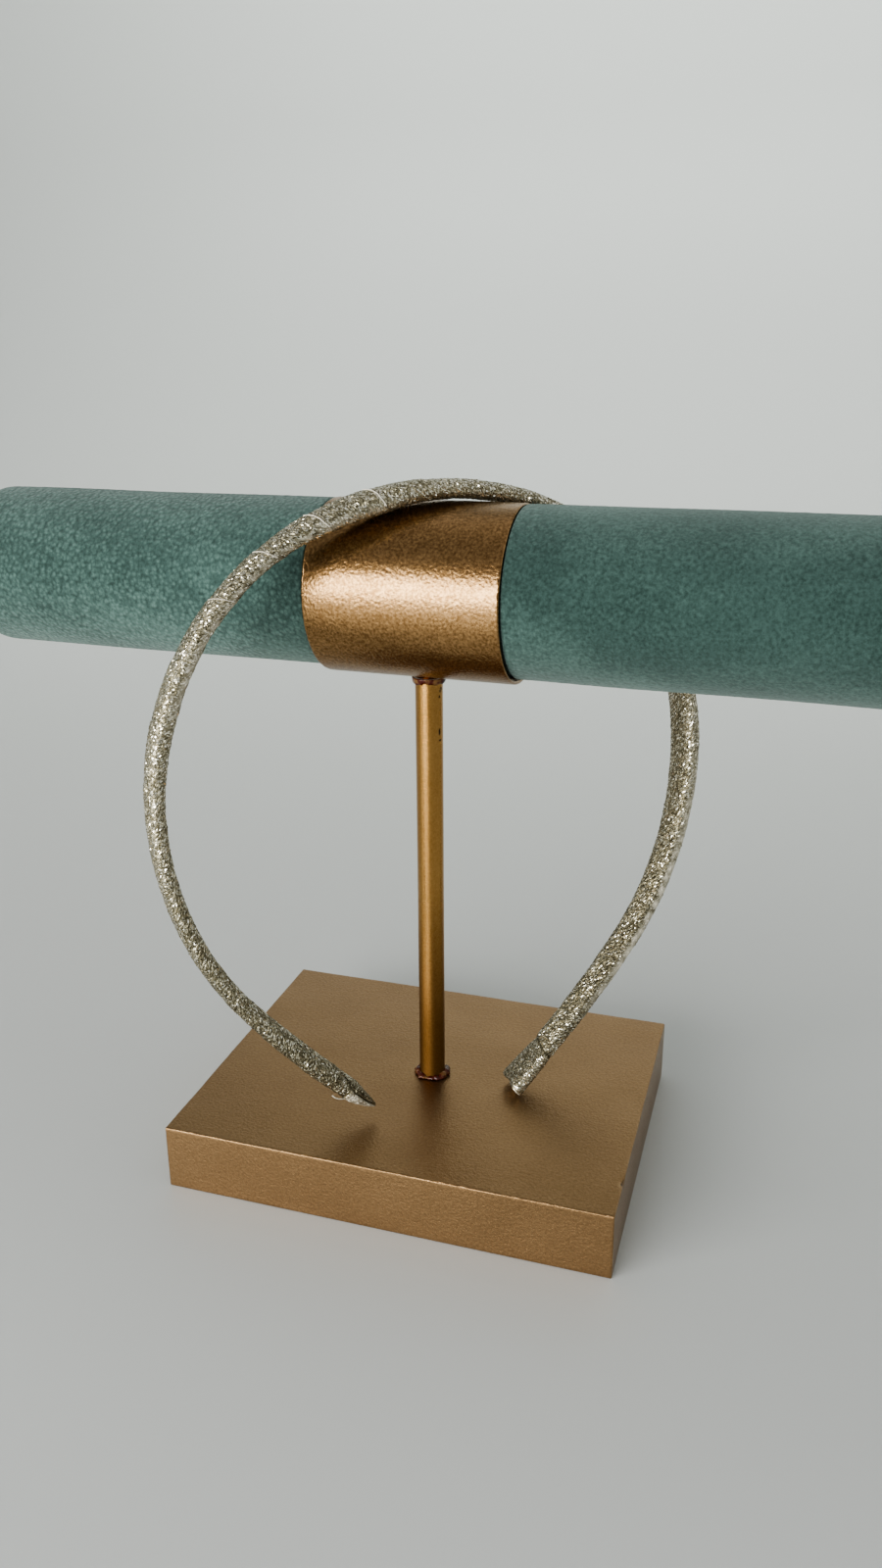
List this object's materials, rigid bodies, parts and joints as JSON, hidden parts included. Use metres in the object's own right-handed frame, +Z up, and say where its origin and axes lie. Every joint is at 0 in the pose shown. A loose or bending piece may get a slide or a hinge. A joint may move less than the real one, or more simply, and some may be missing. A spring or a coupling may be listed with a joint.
{
  "type": "glitter headband on a T-bar display stand",
  "caption": "Slim headband wound in overlapping turns of glitter ribbon, hanging over a velvet T-bar display stand with a painted sleeve, thin rod and flat painted block.",
  "frame": {"origin": "middle of the block's underside", "axes": "+Z up; +X along the block's front edge, left to right as the picture shows it, with the bar turned less than 2 degrees from it; -Y towards the picture's viewer"},
  "size_m": [0.2206, 0.0913, 0.1611],
  "materials": {
    "glitter_ribbon": "champagne glitter weave",
    "bronze_paint": "grainy metallic bronze paint",
    "velvet": "short brushed pile",
    "gold_rod": "satin gold",
    "dark_glue": "hardened, glossy",
    "gold_paint": "satin gold-bronze paint, worn at the edges"
  },
  "bodies": {
    "root": {"wound_ribbon": "glitter_ribbon", "left_end_fold": "glitter_ribbon", "right_end_fold": "glitter_ribbon", "bar_sleeve": "bronze_paint", "velvet_roll": "velvet", "post": "gold_rod", "head_bead": "dark_glue", "foot_bead": "dark_glue", "base_block": "gold_paint"}
  },
  "joints": []
}
